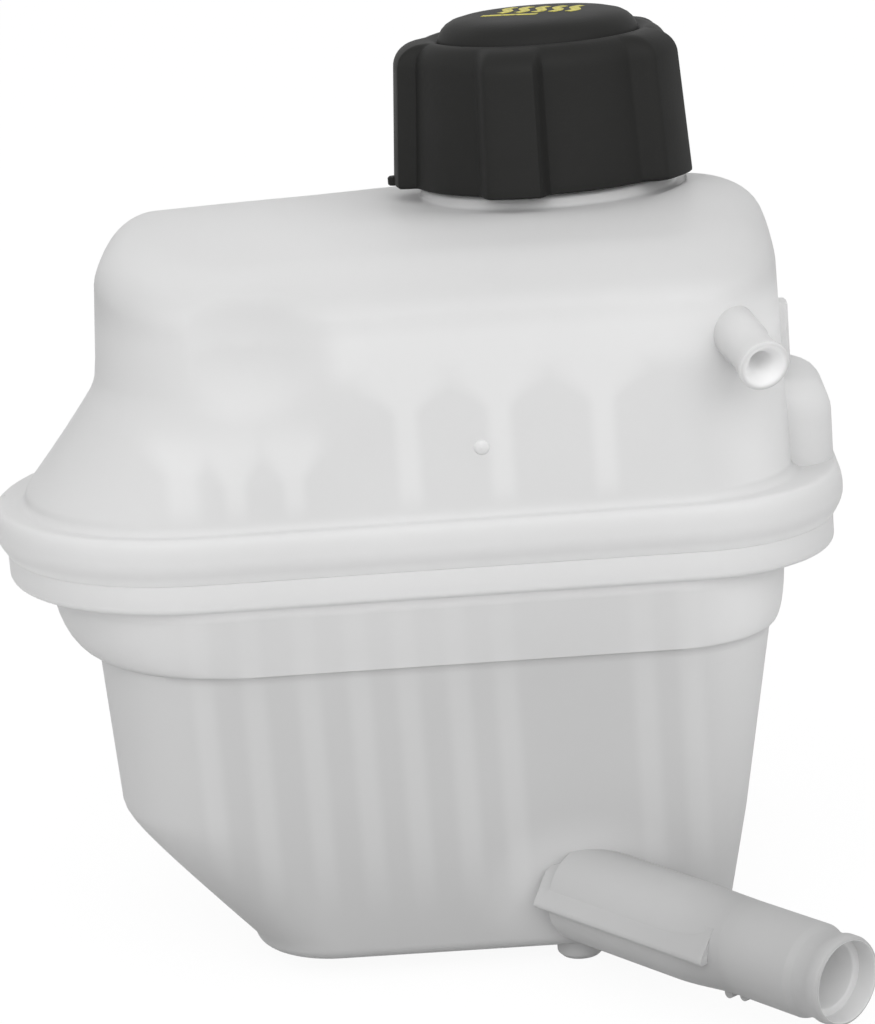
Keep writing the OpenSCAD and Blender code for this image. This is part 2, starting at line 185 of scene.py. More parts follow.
def grained_black(name, colour, smooth, dull, grain_mm, sheen):
    """Carbon-black plastic out of a spark-eroded tool: dark and matt, with a broad dull sheen where
    the edges turn, and handling marks that make the sheen uneven."""
    material, tree = new_material(name)
    place = add(tree, "ShaderNodeTexCoord").outputs["Object"]
    grain = add(
        tree, "ShaderNodeTexNoise", {"Vector": place, "Scale": 1000 / grain_mm, "Detail": 3.0}
    )
    marks = add(tree, "ShaderNodeTexNoise", {"Vector": place, "Scale": 1 / 0.012, "Detail": 3.0})
    rough = add(
        tree,
        "ShaderNodeMapRange",
        {"Value": marks.outputs["Fac"], "To Min": smooth, "To Max": dull},
    )
    skin = add(
        tree,
        "ShaderNodeBump",
        {"Strength": 0.3, "Distance": 0.0001, "Height": grain.outputs["Fac"]},
    )
    black = add(
        tree,
        "ShaderNodeBsdfPrincipled",
        {
            "Base Color": srgb(colour),
            "Roughness": rough.outputs[0],
            "Normal": skin.outputs["Normal"],
            "IOR": 1.5,
            "Specular IOR Level": sheen,
        },
    )
    add(tree, "ShaderNodeOutputMaterial", (black.outputs[0],))
    return material


def moulded_rubber():
    """EPDM rubber, compression moulded: black, dry and quite matt, with a trace of pale dust."""
    material, tree = new_material("epdm_rubber")
    place = add(tree, "ShaderNodeTexCoord").outputs["Object"]
    dust = add(tree, "ShaderNodeTexNoise", {"Vector": place, "Scale": 1 / 0.004, "Detail": 3.0})
    colour = add(
        tree,
        "ShaderNodeMix",
        {"Factor": dust.outputs["Fac"], "A": srgb("#181818"), "B": srgb("#292928")},
        data_type="RGBA",
    )
    rubber = add(
        tree,
        "ShaderNodeBsdfPrincipled",
        {"Base Color": colour.outputs[2], "Roughness": 0.75, "IOR": 1.52},
    )
    add(tree, "ShaderNodeOutputMaterial", (rubber.outputs[0],))
    return material


def drawn_spring_wire():
    """Stainless spring wire, cold drawn: bright, with fine die lines that blur the shine."""
    material, tree = new_material("stainless_spring_wire")
    place = add(tree, "ShaderNodeTexCoord").outputs["Object"]
    lines = add(tree, "ShaderNodeTexNoise", {"Vector": place, "Scale": 1 / 0.0006, "Detail": 2.0})
    rough = add(
        tree, "ShaderNodeMapRange", {"Value": lines.outputs["Fac"], "To Min": 0.2, "To Max": 0.4}
    )
    wire = add(
        tree,
        "ShaderNodeBsdfPrincipled",
        {"Base Color": srgb("#b9bbbd"), "Metallic": 1.0, "Roughness": rough.outputs[0]},
    )
    add(tree, "ShaderNodeOutputMaterial", (wire.outputs[0],))
    return material


def yellow_pad_print():
    """Pad-printed ink on grained plastic: flat and opaque, worn thin where the grain stands up."""
    material, tree = new_material("yellow_pad_print")
    place = add(tree, "ShaderNodeTexCoord").outputs["Object"]
    wear = add(tree, "ShaderNodeTexNoise", {"Vector": place, "Scale": 1 / 0.0012, "Detail": 4.0})
    worn = add(
        tree,
        "ShaderNodeMapRange",
        {"Value": wear.outputs["Fac"], "From Min": 0.48, "From Max": 0.72},
    )
    colour = add(
        tree,
        "ShaderNodeMix",
        {"Factor": worn.outputs[0], "A": srgb("#b9b03e"), "B": srgb("#5a5527")},
        data_type="RGBA",
    )
    print_skin = add(
        tree,
        "ShaderNodeBsdfPrincipled",
        {"Base Color": colour.outputs[2], "Roughness": 0.55, "IOR": 1.5},
    )
    add(tree, "ShaderNodeOutputMaterial", (print_skin.outputs[0],))
    return material


milky = milky_polypropylene()
cap_black = grained_black("black_nylon", "#1a1a19", 0.54, 0.68, 0.5, 0.17)
valve_grey = grained_black("grey_acetal", "#505356", 0.3, 0.42, 0.9, 0.5)
rubber = moulded_rubber()
steel = drawn_spring_wire()
ink = yellow_pad_print()


# How the pieces are made
MM_PER_M = 1000
# Edges sharper than this many degrees stay crisp.
CRISP_EDGE, CAP_EDGE, SOFT_EDGE = 38, 42, 50


def new_piece(name, shape, material, body, thickness_and_painted_light=(), sharp=CRISP_EDGE):
    """A mesh from a shape in millimetres, which rides on a body if one is given. The tone given for
    each point is how much plastic stands behind its skin, with painted light and painted shade added
    in places."""
    mesh = bpy.data.meshes.new(name)
    mesh.from_pydata([[v / MM_PER_M for v in p] for p in shape.points], [], shape.faces)
    if thickness_and_painted_light:
        mesh.attributes.new("thickness_and_painted_light", "FLOAT", "POINT").data.foreach_set("value", thickness_and_painted_light)
    work = bmesh.new()
    work.from_mesh(mesh)
    bmesh.ops.recalc_face_normals(work, faces=work.faces)
    for face in work.faces:
        face.smooth = True
    for edge in work.edges:
        edge.smooth = edge.calc_face_angle(0) < math.radians(sharp)
    work.to_mesh(mesh)
    work.free()
    mesh.materials.append(material)
    piece = bpy.data.objects.new(name, mesh)
    bpy.context.scene.collection.objects.link(piece)
    if body:
        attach(piece, body)
    return piece


def full_turn(steps):
    """Angles in radians, evenly round a full turn."""
    return [2 * math.pi * i / steps for i in range(steps)]


class Shape:
    """Points and faces of one piece, gathered from several closed surfaces."""

    def __init__(self):
        self.points = []
        self.faces = []

    def loft(self, rings, closed=False):
        """A skin through rings of equally many points. Closed joins the last ring to the first."""
        start = len(self.points)
        count = len(rings[0])
        for ring in rings:
            self.points.extend(ring)
        for k in range(len(rings) if closed else len(rings) - 1):
            a = start + k * count
            b = start + (k + 1) % len(rings) * count
            for i in range(count):
                j = (i + 1) % count
                self.faces.append((a + i, a + j, b + j, b + i))
        if not closed:
            self.cover(start, count)
            self.cover(start + (len(rings) - 1) * count, count)

    def cover(self, first, count):
        """A fan that shuts a ring of points, from its middle."""
        ring = self.points[first : first + count]
        self.points.append([sum(p[i] for p in ring) / count for i in range(3)])
        middle = len(self.points) - 1
        for i in range(count):
            self.faces.append((middle, first + i, first + (i + 1) % count))

    def turn(self, profile, place, steps=96):
        """A solid turned from a closed profile of (radius, height), set in place by a matrix."""
        rings = []
        for radius, height in profile:
            ring = []
            for a in full_turn(steps):
                ring.append(place @ Vector((radius * math.cos(a), radius * math.sin(a), height)))
            rings.append(ring)
        self.loft(rings, closed=True)

    def extrude(self, section, low, high, place):
        """A prism over a section of (x, y), set in place by a matrix."""
        self.loft([[place @ Vector((x, y, z)) for x, y in section] for z in (low, high)])


def along(start, end, steps):
    """Evenly spaced values from start to end, with both."""
    return [start + (end - start) * i / steps for i in range(steps + 1)]


def rising(low, high, value):
    """0 below low, 1 above high, and a smooth rise between them."""
    t = min(1, max(0, (value - low) / (high - low)))
    return t * t * (3 - 2 * t)


def towards(value, goal, share):
    """The value, moved to a goal by a share of the way."""
    return value + (goal - value) * share


def arc(angle):
    """How far a quarter round has gone in, and how far up, at an angle in degrees."""
    return 1 - math.cos(math.radians(angle)), math.sin(math.radians(angle))


def slant(draft):
    """How far a wall with a draft in degrees comes in over 1 mm of height."""
    return math.tan(math.radians(draft))


def turned(degrees, axis):
    """A turn by so many degrees about an axis, as a matrix."""
    return Matrix.Rotation(math.radians(degrees), 4, axis)


# The tank's outline at any level, with the sizes of the solids, but for the slack
REACH_LEFT, REACH_RIGHT, REACH_FRONT, REACH_BACK = 122.5, 61.5, 14.5, 122
FRONT_LEFT, FRONT_RIGHT, BACK_RIGHT, BACK_LEFT = 48, 29, 32, 88
WELD = 90
WALL = 2.4
# Width of the flat rim where the two shells are welded
LAND = 6.5
# Size of the small bevel on a moulded edge
BREAK = 0.5
LEAST_ROUND = 2
# The hidden rear left corner shrinks faster than the others as the wall comes in. Near the flange
# it is wider than deep, and slack draws its middle in.
REAR_STRETCH, REAR_STRETCH_ENDS, REAR_SLACK = 0.35, 20, 0.055
REAR_SHRINK = 1.2
# Steps on the corners and the sides, from the front left. What faces the camera has the most.
CORNER_STEPS = (80, 24, 16, 30)
SIDE_STEPS = (130, 14, 24, 14)


def corner(middle_x, middle_y, across, deep, start, steps, slack=0):
    """A quarter round between two sides. Slack draws its middle in."""
    points = []
    for i in range(steps + 1):
        a = math.radians(start + 90 * i / steps)
        share = 1 - slack * math.sin(2 * a) ** 2
        points.append((middle_x + across * share * math.cos(a), middle_y + deep * share * math.sin(a)))
    return points


def outline(inset):
    """Points round the tank, standing in from the flange's left, right, front and back edges."""
    left, right, front, back = inset
    low_x = -REACH_LEFT + left
    high_x = REACH_RIGHT - right
    low_y = -REACH_FRONT + front
    high_y = REACH_BACK - back
    # The radius of each corner, from the front left
    r0 = max(LEAST_ROUND, FRONT_LEFT - (left + front) / 2)
    r1 = max(LEAST_ROUND, FRONT_RIGHT - (right + front) / 2)
    r2 = max(LEAST_ROUND, BACK_RIGHT - (right + back) / 2)
    r3 = max(LEAST_ROUND, BACK_LEFT - REAR_SHRINK * (left + back))
    wide = r3 * (1 + REAR_STRETCH * max(0, min(1, 1 - left / REAR_STRETCH_ENDS)))
    corners = (
        corner(low_x + r0, low_y + r0, r0, r0, 180, CORNER_STEPS[0]),
        corner(high_x - r1, low_y + r1, r1, r1, 270, CORNER_STEPS[1]),
        corner(high_x - r2, high_y - r2, r2, r2, 0, CORNER_STEPS[2]),
        corner(low_x + wide, high_y - r3, wide, r3, 90, CORNER_STEPS[3], REAR_SLACK),
    )
    points = []
    for k, steps in enumerate(SIDE_STEPS):
        x0, y0 = corners[k][-1]
        x1, y1 = corners[(k + 1) % 4][0]
        points += corners[k]
        for i in range(1, steps):
            t = i / steps
            points.append((x0 + (x1 - x0) * t, y0 + (y1 - y0) * t))
    return points


def level(inset, z):
    """A ring round the tank at a level."""
    return [(x, y, z) for x, y in outline(inset)]


def even(d):
    """The same inset on all four sides."""
    return (d, d, d, d)


def grown(inset, d):
    """An inset, further in by the same on all four sides."""
    return [v + d for v in inset]


def between(ring_a, ring_b, t):
    """A ring that lies between two others, by a share of the way."""
    return [tuple(towards(a, b, t) for a, b in zip(p, q)) for p, q in zip(ring_a, ring_b)]


# Upper shell, with its insets and drafts in the order left, right, front, back
BEAD_H, BEAD_OUT, BEAD_FOOT, BEAD_FILLET = 10.6, 2.4, 0.1, 2.6
UPPER_FOOT = (3.4, 8.8, 0.9, 4)
UPPER_DRAFT = (8.5, 1.6, 1.2, 6)
SKIRT_H, SKIRT_LEFT, SKIRT_BACK, SKIRT_BOW = 40, 21.5, 15, 1.25
SKIRT_END = SKIRT_H + 4
ROOF_H, ROOF_ROUND = 70.9, 9
WALL_END = ROOF_H - 18
# How much further the roof's round goes in on each side than up.
ROUND_SPREAD = (1.1, 1.8, 1.5, 1)
ROOF_CROWN, ROOF_FALL = 0.0003, 9.5
ROOF_TOP_X, ROOF_TOP_Y, ROOF_HALF = -26, 39, 53
NECK_X, NECK_Y = 4.3, 53
RING_Z = WELD + 71
RIM_Z = RING_Z + 23.4
RING_R, NECK_R, NECK_BORE_R = 28.6, 24, 21
RING_H, RING_APRON, RING_FILLET = 2.4, 3, 0.8
SHELF_Z = RING_Z - 6
HOLLOW_X, HOLLOW_H, HOLLOW_R, HOLLOW_DEPTH = -63, 50, 28, 3.4
HOLLOW_LEAN, HOLLOW_SOFT, HOLLOW_BACK = 10, 2.2, 40
# Where the baffles stand behind the front wall, from left to right
UPPER_LONG = (-28.9, -9.3, 12.4)
UPPER_SHORT = (-77, -65.9, -53.5)
NIPPLE_PLACE = Matrix.Translation((REACH_RIGHT - 15.5, -REACH_FRONT - 9.5, WELD + 41))
NIPPLE_TURN = NIPPLE_PLACE @ turned(18, "Z") @ turned(-74, "X")
NIPPLE_L, NIPPLE_BORE_R, NIPPLE_CUP_R = 24, 2.4, 4.3
# Tones, from 0 for thin and grey to 1 for thick and white. The mouth tone and the right gain are
# painted light, and the tongue, round and roof tones are painted shade. A gain is added to a tone.
NIPPLE_MOUTH_PAINTED_LIGHT, NIPPLE_TONE, SIDE_TONE = 1.0, 0.52, 0.72
WALL_TONE, BAFFLE_GAIN, RIGHT_PAINTED_LIGHT = 0.66, 0.12, 0.2
TONGUE_PAINTED_SHADE, REAR_TONE, ROUND_PAINTED_SHADE, ROOF_PAINTED_SHADE = 0.65, 0.76, 0.52, 0.72
# The tongue's half width, how much wider it gets per mm upwards, and how soft its edge is
TONGUE_HALF, TONGUE_FLARE, TONGUE_SOFT = 14.5, 0.35, 2.5


def upper_inset(h):
    """How far the upper wall stands in at a height over the weld."""
    left, right, front, back = UPPER_FOOT
    lean = 1 - (1 - min(1, max(0, h - BEAD_H) / (SKIRT_H - BEAD_H))) ** SKIRT_BOW
    above = max(0, h - SKIRT_H)
    return (
        left + SKIRT_LEFT * lean + above * slant(UPPER_DRAFT[0]),
        right + (h - BEAD_H) * slant(UPPER_DRAFT[1]),
        front + (h - BEAD_H) * slant(UPPER_DRAFT[2]),
        back + SKIRT_BACK * lean + above * slant(UPPER_DRAFT[3]),
    )


def roof_z(x, y, drop):
    """The roof's height at a point: a slight crown from left to right, and a fall to the front."""
    crown = ROOF_CROWN * (x - ROOF_TOP_X) ** 2
    return WELD + ROOF_H - drop - crown - ROOF_FALL * ((y - ROOF_TOP_Y) / ROOF_HALF) ** 2


def roof_edge(angle, d):
    """A ring on the round between wall and roof, at an angle up it, for a skin d further in."""
    into, up = arc(angle)
    s = ROOF_ROUND * into
    inset = [v + d + spread * s for v, spread in zip(upper_inset(WALL_END), ROUND_SPREAD)]
    return [(x, y, roof_z(x, y, d + ROOF_ROUND * (1 - up))) for x, y in outline(inset)]


def by_neck(radius, angle, z):
    """A point at a radius and an angle in radians from the neck's axis."""
    return NECK_X + radius * math.cos(angle), NECK_Y + radius * math.sin(angle), z


def roof(t, d):
    """A ring on the roof, from its edge at 0 to the foot of the neck's ring at 1."""
    foot_z = RING_Z - RING_H - d
    ring = []
    for x, y, z in roof_edge(90, d):
        a = math.atan2(y - NECK_Y, x - NECK_X)
        foot_x, foot_y, _ = by_neck(RING_R + RING_APRON, a, foot_z)
        x = towards(x, foot_x, t)
        y = towards(y, foot_y, t)
        ring.append((x, y, roof_z(x, y, d) * (1 - t**3) + foot_z * t**3))
    return ring


def neck_ring(radius, z):
    """A ring round the neck, its points in line with those of the roof."""
    edge = roof_edge(90, 0)
    return [by_neck(radius, math.atan2(y - NECK_Y, x - NECK_X), z) for x, y, _ in edge]


def hollowed(ring, d):
    """The ring, pressed in where the front left wall has its soft hollow, which is open above."""
    middle_y = -REACH_FRONT + upper_inset(HOLLOW_H)[2] - HOLLOW_R + HOLLOW_DEPTH
    pressed = []
    for x, y, z in ring:
        h = z - WELD - HOLLOW_H
        reach = (HOLLOW_R + d) ** 2 - (x - HOLLOW_X) ** 2 - min(0, h) ** 2
        if reach > 0 and y < HOLLOW_BACK:
            deep = middle_y + slant(HOLLOW_LEAN) * max(0, h) + math.sqrt(reach) - y
            y += (deep + math.sqrt(deep * deep + HOLLOW_SOFT**2)) / 2
        pressed.append((x, y, z))
    return pressed


def streak(x, places, half_width):
    """1 on the nearest of the baffles, and a soft fall to 0 at half a width from it."""
    away = min(abs(x - place) for place in places)
    return 1 - rising(0.25 * half_width, half_width, away)


def upper_thickness_and_painted_light(point):
    """Tone of the upper skin. Between the baffles it is single and greyer. Their feet are narrow
    and widen upwards until the tone is even. The hollow's tongue, the round under the roof and the
    roof are made greyer as painted shade, and the wall by the nipple paler as painted light."""
    x, y, z = point
    h = z - WELD
    # The bead is whitest at the weld.
    if h < BEAD_H + 2.5:
        return 1 - 0.25 * rising(0.4, 3, h) - 0.1 * rising(3, 7, h)
    # The front wall's baffles: narrow streaks low down, which widen into one even tone above
    short = streak(x, UPPER_SHORT, 3.4 + 9 * rising(20, 31, h)) * (1 - rising(-50, -42, x))
    short = max(short, streak(x, UPPER_SHORT[:1], 5.4)) * (1 - rising(27, 36, h))
    long = streak(x, UPPER_LONG, 3.8 + 15 * rising(33, 44, h))
    open_share = rising(38, 45, h) * rising(-47, -40, x)
    tone = WALL_TONE + BAFFLE_GAIN * max(long, short, open_share) * rising(11, 18, h)
    # Painted light: the front wall's right end, by the nipple, is made paler to lift its shade.
    tone += RIGHT_PAINTED_LIGHT * rising(33, 46, x) * (1 - rising(44, 56, h))
    # The tongue of the hollow, round below and wider above, made greyer as painted shade in the hollow
    half = TONGUE_HALF + TONGUE_FLARE * max(0, h - HOLLOW_H)
    if h < HOLLOW_H:
        half = math.sqrt(max(0, half**2 - (HOLLOW_H - h) ** 2))
    tongue = 1 - rising(half - TONGUE_SOFT, half + TONGUE_SOFT, abs(x - HOLLOW_X))
    tone = towards(tone, TONGUE_PAINTED_SHADE, tongue * rising(34, 39, h))
    # The sides and the back, then the round under the roof, then the roof. The round and the roof,
    # which face the lamp, are made greyer as painted shade, and greyer still towards their ends.
    tone = towards(tone, REAR_TONE, rising(8, 60, y))
    right_share = rising(-56, 0, x)
    left_share = 1 - rising(-100, -76, x)
    round_painted_shade = ROUND_PAINTED_SHADE - 0.04 * right_share - 0.1 * left_share + 0.1 * rising(8, 40, y)
    tone = towards(tone, round_painted_shade, rising(49, 59, h))
    roof_painted_shade = ROOF_PAINTED_SHADE - 0.12 * right_share - 0.08 * left_share
    return towards(tone, roof_painted_shade, rising(59, 70, h))


def bead_rings():
    """The rounded bead at the weld, softer below than above, and the fillet from its top into the
    wall."""
    rings = []
    for a in along(0, 180, 16):
        swell = math.sin(math.radians(a)) ** 0.6 if 0 < a < 180 else 0
        rise = (1 - math.cos(math.radians(a))) / 2
        soft = BEAD_FOOT + (BEAD_OUT - BEAD_FOOT) * math.sin(math.pi * rise)
        stand = BEAD_OUT * swell if a > 90 else soft
        rings.append(level(even(-stand), WELD + BEAD_H * rise))
    foot = upper_inset(BEAD_H + BEAD_FILLET)
    for a in along(0, 90, 5):
        into, up = arc(a)
        inset = [v - min(v, BEAD_FILLET) * (1 - up) for v in foot]
        rings.append(level(inset, WELD + BEAD_H + BEAD_FILLET * into))
    return rings


def upper_rings():
    """The whole upper moulding in one run of rings: bead, wall, roof, neck, and down inside."""
    rings = bead_rings()
    for h in along(BEAD_H + BEAD_FILLET, SKIRT_END, 40)[1:]:
        rings.append(hollowed(level(upper_inset(h), WELD + h), 0))
    wall_top = level(upper_inset(SKIRT_END), WELD + SKIRT_END)
    for t in along(0, 1, 8)[1:-1]:
        rings.append(hollowed(between(wall_top, roof_edge(0, 0), t), 0))
    rings += [hollowed(roof_edge(a, 0), 0) for a in along(0, 90, 12)]
    rings += [roof(t, 0) for t in along(0, 1, 14)[1:]]
    for a in along(0, 90, 4):
        into, up = arc(a)
        z = RING_Z - RING_H + RING_FILLET * into
        rings.append(neck_ring(RING_R + RING_FILLET * (1 - up), z))
    rings += [neck_ring(RING_R, RING_Z - BREAK), neck_ring(RING_R - BREAK, RING_Z)]
    rings += [neck_ring(NECK_R + 0.6, RING_Z), neck_ring(NECK_R, RING_Z + 0.6)]
    rings += [neck_ring(NECK_R, RIM_Z - BREAK), neck_ring(NECK_R - BREAK, RIM_Z)]
    rings += [neck_ring(NECK_BORE_R + BREAK, RIM_Z), neck_ring(NECK_BORE_R, RIM_Z - BREAK)]
    rings += [neck_ring(NECK_BORE_R, SHELF_Z), neck_ring(RING_R + RING_APRON, SHELF_Z)]
    rings += [roof(t, WALL) for t in (0.7, 0.3)]
    rings += [hollowed(roof_edge(a, WALL), WALL) for a in (90, 60, 30, 0)]
    for h in (SKIRT_END, SKIRT_H, 33, 24, BEAD_H + 4):
        rings.append(hollowed(level(grown(upper_inset(h), WALL), WELD + h), WALL))
    rings += [level(even(LAND), WELD + 4), level(even(LAND), WELD)]
    return rings


def right_box(left, right, front, back, front_round, back_round, z):
    """A box's outline, rounded at its two right corners."""
    middle = (left + right) / 2
    ring = [(left, front), (middle, front)]
    ring += corner(right - front_round, front + front_round, front_round, front_round, 270, 8)
    ring += corner(right - back_round, back - back_round, back_round, back_round, 0, 8)
    ring += [(middle, back), (left, back)]
    return [(x, y, z) for x, y in ring]


def return_nipple(shape):
    """The small hose nipple on the right of the front wall, from its open end inwards."""
    mouth = [(NIPPLE_BORE_R, 2.6), (3.1, 1.6), (3.8, 0.6), (4.2, 0.1)]
    lip = [(5, 0), (5.5, 0.4), (5.5, 1.4), (4.9, 3)]
    root = [(4.8, 9.6), (5.2, 10.6), (5.2, NIPPLE_L), (NIPPLE_BORE_R, NIPPLE_L)]
    shape.turn(mouth + lip + root, NIPPLE_TURN, 64)


def shoulder(shape):
    """The box that stands out of the right side over the bead."""
    left, right, front, back = 20, REACH_RIGHT + 1.1, 10, 54
    rounds = (9, 14)
    side_h, round_in, round_up = 21, 7.5, 8
    rings = [right_box(left, right, front, back, *rounds, WELD + h) for h in (3, 12)]
    for a in along(0, 90, 8):
        into, up = arc(a)
        s = round_in * into
        z = WELD + side_h + round_up * up
        rings.append(right_box(left, right - s, front + s / 2, back - s, *rounds, z))
    shape.loft(rings)


def hose_tab(shape):
    """The small upright tab behind the nipple."""
    left, right, front, back = 45.5, 55.1, 30, 36
    rings = []
    for h, s in ((24, 0), (43 - BREAK, 0), (43, BREAK)):
        rings.append(right_box(left, right - s, front + s, back - s, 0.8, 0.8, WELD + h))
    shape.loft(rings)


def gate_mark(shape):
    """The small round stub where the plastic was shot in."""
    place = Matrix.Translation((-13.4, -REACH_FRONT + 1.2, WELD + 25.5)) @ turned(91, "X")
    shape.turn([(0.05, -0.6), (1.9, -0.6), (1.7, 0), (1.1, 0.3), (0.05, 0.4)], place, 24)


def upper_skin():
    shape = Shape()
    shape.loft(upper_rings(), closed=True)
    thickness_and_painted_light = [upper_thickness_and_painted_light(p) for p in shape.points]
    return_nipple(shape)
    # Inside the nipple's mouth the tone is white, painted light that lifts the shade in its bore.
    for point in shape.points[len(thickness_and_painted_light) :]:
        inside = (NIPPLE_TURN.inverted() @ point).to_2d().length < NIPPLE_CUP_R
        thickness_and_painted_light.append(NIPPLE_MOUTH_PAINTED_LIGHT if inside else NIPPLE_TONE)
    shoulder(shape)
    hose_tab(shape)
    gate_mark(shape)
    thickness_and_painted_light += [SIDE_TONE] * (len(shape.points) - len(thickness_and_painted_light))
    piece = new_piece("upper_skin", shape, milky, "tank", thickness_and_painted_light, SOFT_EDGE)
    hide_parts("top_shell")


# Lower shell, with its insets and drafts in the order left, right, front, back
LIP_H, LIP_ROUND, COLLAR_H, COLLAR_GAP = 6.7, 1.8, 22, 0.6
COLLAR_TOP = (9.5, 11.4, 2.6, 4)
COLLAR_FOOT = (18.5, 14.5, 2.6, 8.4)
COLLAR_STEPS = (1, 0.995, 0.97, 0.92, 0.85, 0.74, 0.6, 0.45, 0.3, 0.15, 0)
LOWER_TOP = (19.2, 15.2, 3.2, 9)
LOWER_DRAFT = (2.9, 10.3, 2.6, 4)
# Near the base the left wall slopes in to a foot, and the right one tucks in a little more.
SLOPE_H, SLOPE_W, SLOPE_SOFT = 32, 35, 5
TUCK_H, TUCK = 26, 0.04
BASE_ROUND = 3
LOWER_BAFFLES = (-77.3, -66.3, -54.4, -43.5, -33.1, -22.2, -12, 17.7, 27.7)
OUTLET_R, OUTLET_BORE_R, OUTLET_L = 10, 6.8, 71.2
SEAT_END = 62.6
# The thick root fades into the hose's seat from its start to its end. Its first ring is hidden
# inside the wall, and its last one just under the seat's skin.
ROOT_L, ROOT_START, ROOT_EXTRA, ROOT_SUNK, ROOT_LOW = 46, 28, 0.7, 0.02, 0.5
ROOT_SHARES = [-1.89] + along(0, 1, 8)
WEB_START, WEB_END, NIB_R, NIB_HALF = -9, 41.5, 1.1, 1.2
OUTLET_PLACE = Matrix.Translation((5.5, -REACH_FRONT + 3, 12.8))
OUTLET_TURN = OUTLET_PLACE @ turned(42.5, "Z") @ turned(91, "X")
OUTLET_MOUTH_R = 8.7
# Tones of the lower skin. The lip's edge, the corner gains, the outlet's gain, the outlet's root and
# its mouth are painted light, and the base's greying with height is painted shade.
LIP_TONE, LIP_EDGE_PAINTED_LIGHT, COLLAR_TONE = 0.71, 0.29, 0.53
BASE_TONE, HEIGHT_PAINTED_SHADE, BACK_GAIN, OUTLET_PAINTED_LIGHT = 0.28, 0.13, 0.2, 0.2
STREAK_GAIN, LEFT_CORNER_PAINTED_LIGHT, RIGHT_CORNER_PAINTED_LIGHT = 0.1, 0.18, 0.34
OUTLET_TONE, OUTLET_FADE, OUTLET_MOUTH_PAINTED_LIGHT = 0.44, 0.34, 0.68
FITTING_TONE = 0.4
PEG_L = 4.5
EAR_X, EAR_Y, EAR_HOLE_R = -18, REACH_BACK + 9, 4.2
EAR_R, EAR_ROOT, EAR_SET_IN = 12, 10, 2


def lower_inset(z):
    """How far the lower wall stands in at a level, with the slope of its left foot."""
    left, right, front, back = LOWER_TOP
    h = WELD - COLLAR_H - z
    d = max(0, SLOPE_H - z)
    slope = d * d / (d + SLOPE_SOFT) * SLOPE_W / SLOPE_H
    return (
        left + h * slant(LOWER_DRAFT[0]) + slope,
        right + h * slant(LOWER_DRAFT[1]) + TUCK * max(0, TUCK_H - z),
        front + h * slant(LOWER_DRAFT[2]),
        back + h * slant(LOWER_DRAFT[3]),
    )


def base_ring(angle, d):
    """A ring on the round between wall and base, at an angle up it, for a skin d further in."""
    into, up = arc(angle)
    r = BASE_ROUND - 0.9 * d
    return level(grown(lower_inset(BASE_ROUND), d + r * into), d + r * (1 - up))


def collar_ring(t, d):
    """A ring on the collar under the lip, which swells from its foot at 1 to its top at 0."""
    share = 1 - math.sqrt(1 - t * t)
    inset = [towards(top, foot, share) + d for top, foot in zip(COLLAR_TOP, COLLAR_FOOT)]
    return level(inset, WELD - LIP_H - COLLAR_GAP - t * (COLLAR_H - LIP_H - COLLAR_GAP))


def lower_thickness_and_painted_light(point):
    """Tone of the lower skin: whitest at the lip, then the collar, and greyer towards the base, with
    the soft streaks of the baffles. The greying below the collar is painted shade, and the lip's lower
    edge, the corners and the wall by the outlet are made paler as painted light."""
    x, y, z = point
    # The lip is whitest along its lower edge: painted light that lifts the shade in the crease under
    # it.
    if z > WELD - LIP_H - 1.5:
        return LIP_TONE + LIP_EDGE_PAINTED_LIGHT * (1 - rising(0.6, 2, abs(z - WELD + LIP_H)))
    # Painted shade: below the collar the wall is greyer, and greyer still towards the base, where less
    # light reaches it.
    if z > WELD - COLLAR_H:
        tone = COLLAR_TONE
    else:
        tone = BASE_TONE + HEIGHT_PAINTED_SHADE * rising(-10, 45, z)
    # The baffles start over the sloping foot, and fade towards the collar.
    foot = max(4, -67 - x)
    fade = 1 - 0.6 * rising(60, 72, z)
    front = STREAK_GAIN * streak(x, LOWER_BAFFLES, 3.8) * rising(foot + 2, foot + 24, z) * fade
    # Painted light: the wall's left and right ends, which turn away from the lamp, are made paler.
    front += LEFT_CORNER_PAINTED_LIGHT * (1 - rising(-92, -68, x)) + RIGHT_CORNER_PAINTED_LIGHT * rising(24, 44, x)
    if z > 2:
        tone += towards(BACK_GAIN, front, 1 - rising(6, 70, y))
    # Painted light round the outlet: the wall by its root is made paler to lift the shade there.
    off_axis = (OUTLET_TURN.inverted() @ Vector(point)).to_2d().length
    return tone + OUTLET_PAINTED_LIGHT * (1 - rising(9, 20, off_axis)) * (1 - rising(0, 20, y))


def outlet_thickness_and_painted_light(point):
    """Tone of the outlet: palest by its root, as painted light that lifts the shade where it meets the
    wall, then greyer, but for the inside of its mouth, made pale as painted light in the bore.
    """
    place = OUTLET_TURN.inverted() @ Vector(point)
    if place.to_2d().length < OUTLET_MOUTH_R:
        return OUTLET_MOUTH_PAINTED_LIGHT
    return OUTLET_TONE - OUTLET_FADE * rising(15, 60, place.z)


